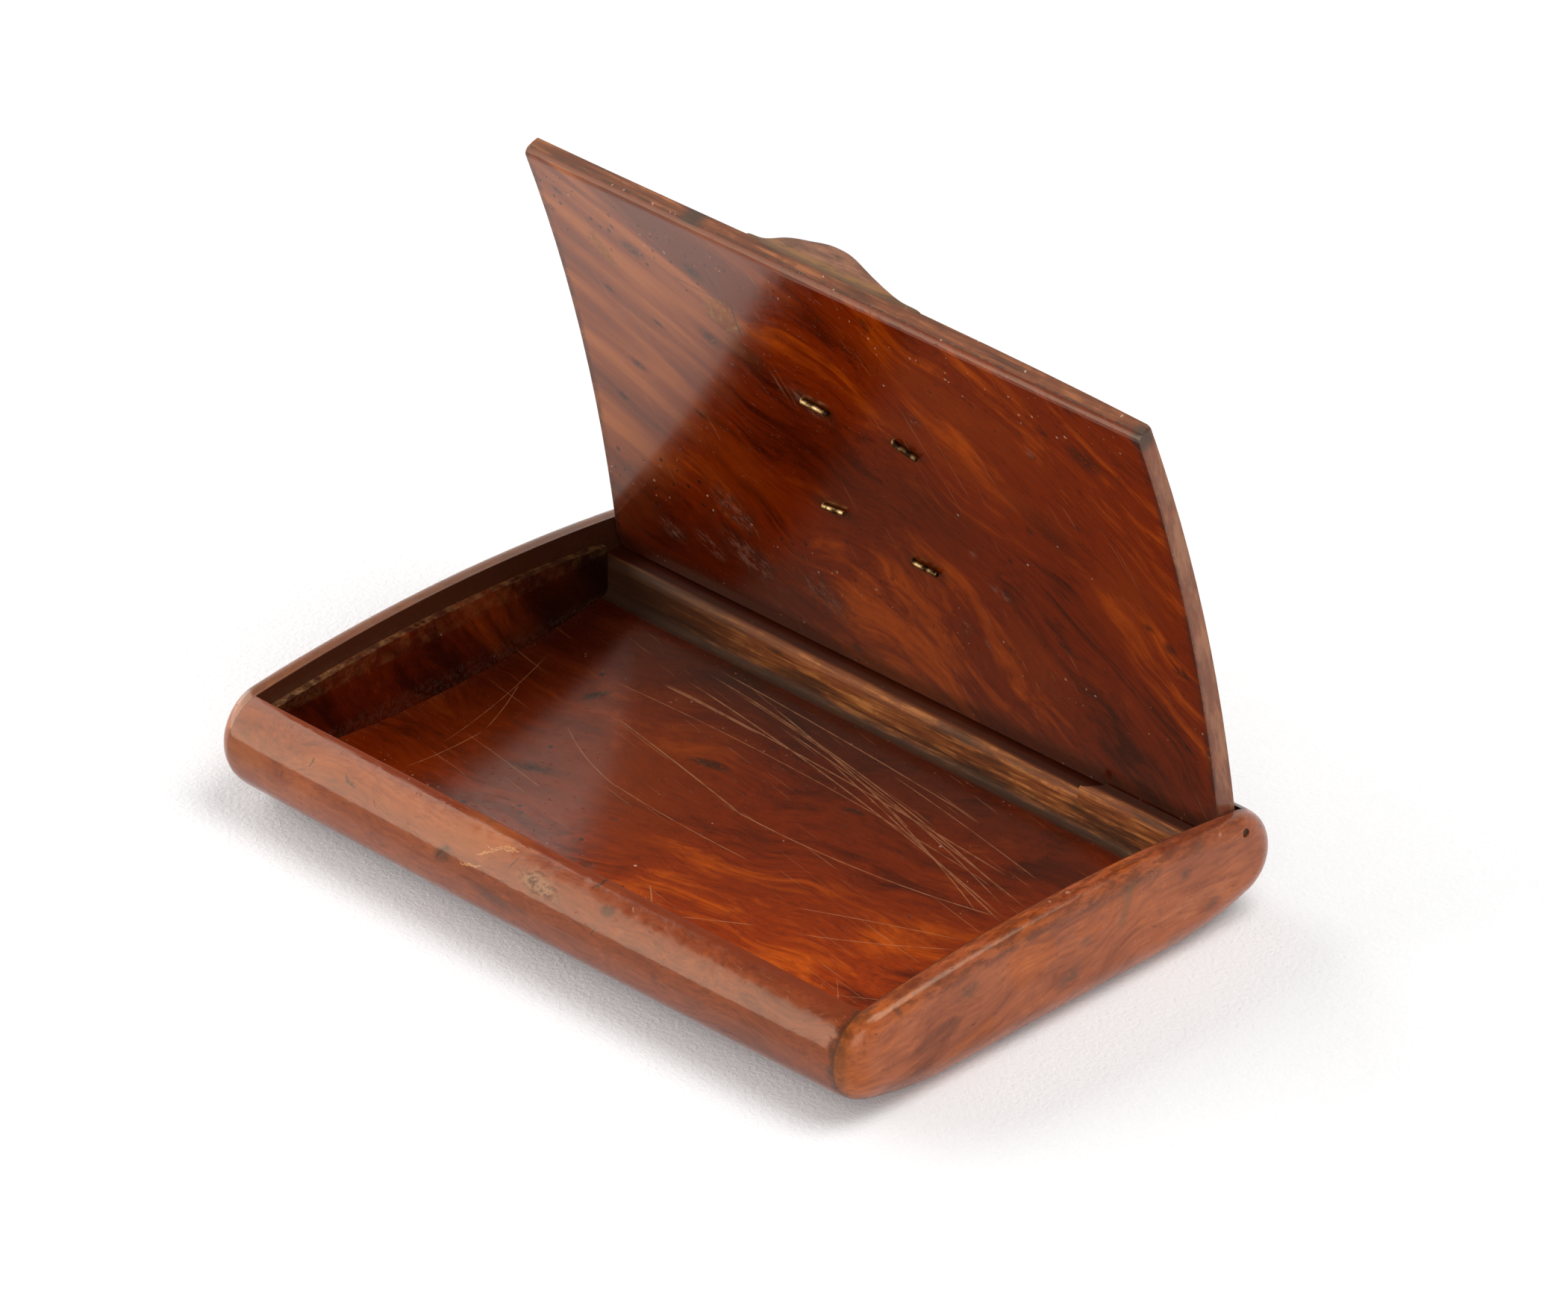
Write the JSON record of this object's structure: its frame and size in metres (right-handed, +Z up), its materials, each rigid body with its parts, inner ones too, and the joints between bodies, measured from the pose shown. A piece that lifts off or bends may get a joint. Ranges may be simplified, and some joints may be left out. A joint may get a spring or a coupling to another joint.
{
  "type": "snuff box",
  "caption": "Flat oval-section burr wood snuff box with a hinged arched lid, glued end pieces, a carved thumb lift and a concealed wooden hinge on end pins",
  "frame": {"origin": "on the resting face of the bottom, under the middle of the box's length and depth", "axes": "X along the length between the end pieces, -Y to the front with the thumb lift, +Z up from the resting face"},
  "size_m": [0.095, 0.0648, 0.0659],
  "materials": {
    "burr_wood": "polished",
    "burr_wood_ends": "satin",
    "brass_wire": "dull",
    "hinge_iron": "dark"
  },
  "bodies": {
    "box": {"trough": "burr_wood", "end_left": "burr_wood_ends", "end_right": "burr_wood_ends", "hinge_pin_left": "hinge_iron", "hinge_pin_right": "hinge_iron"},
    "lid": {"lid": "burr_wood", "clinch_pin_front_left": "brass_wire", "clinch_pin_front_right": "brass_wire", "clinch_pin_back_left": "brass_wire", "clinch_pin_back_right": "brass_wire"}
  },
  "joints": [
    {"name": "lid_hinge", "type": "hinge", "parent": "box", "child": "lid", "pos_m": [0, 0.027, 0.011], "axis": [1, 0, 0], "range_deg": [0, 75]}
  ]
}
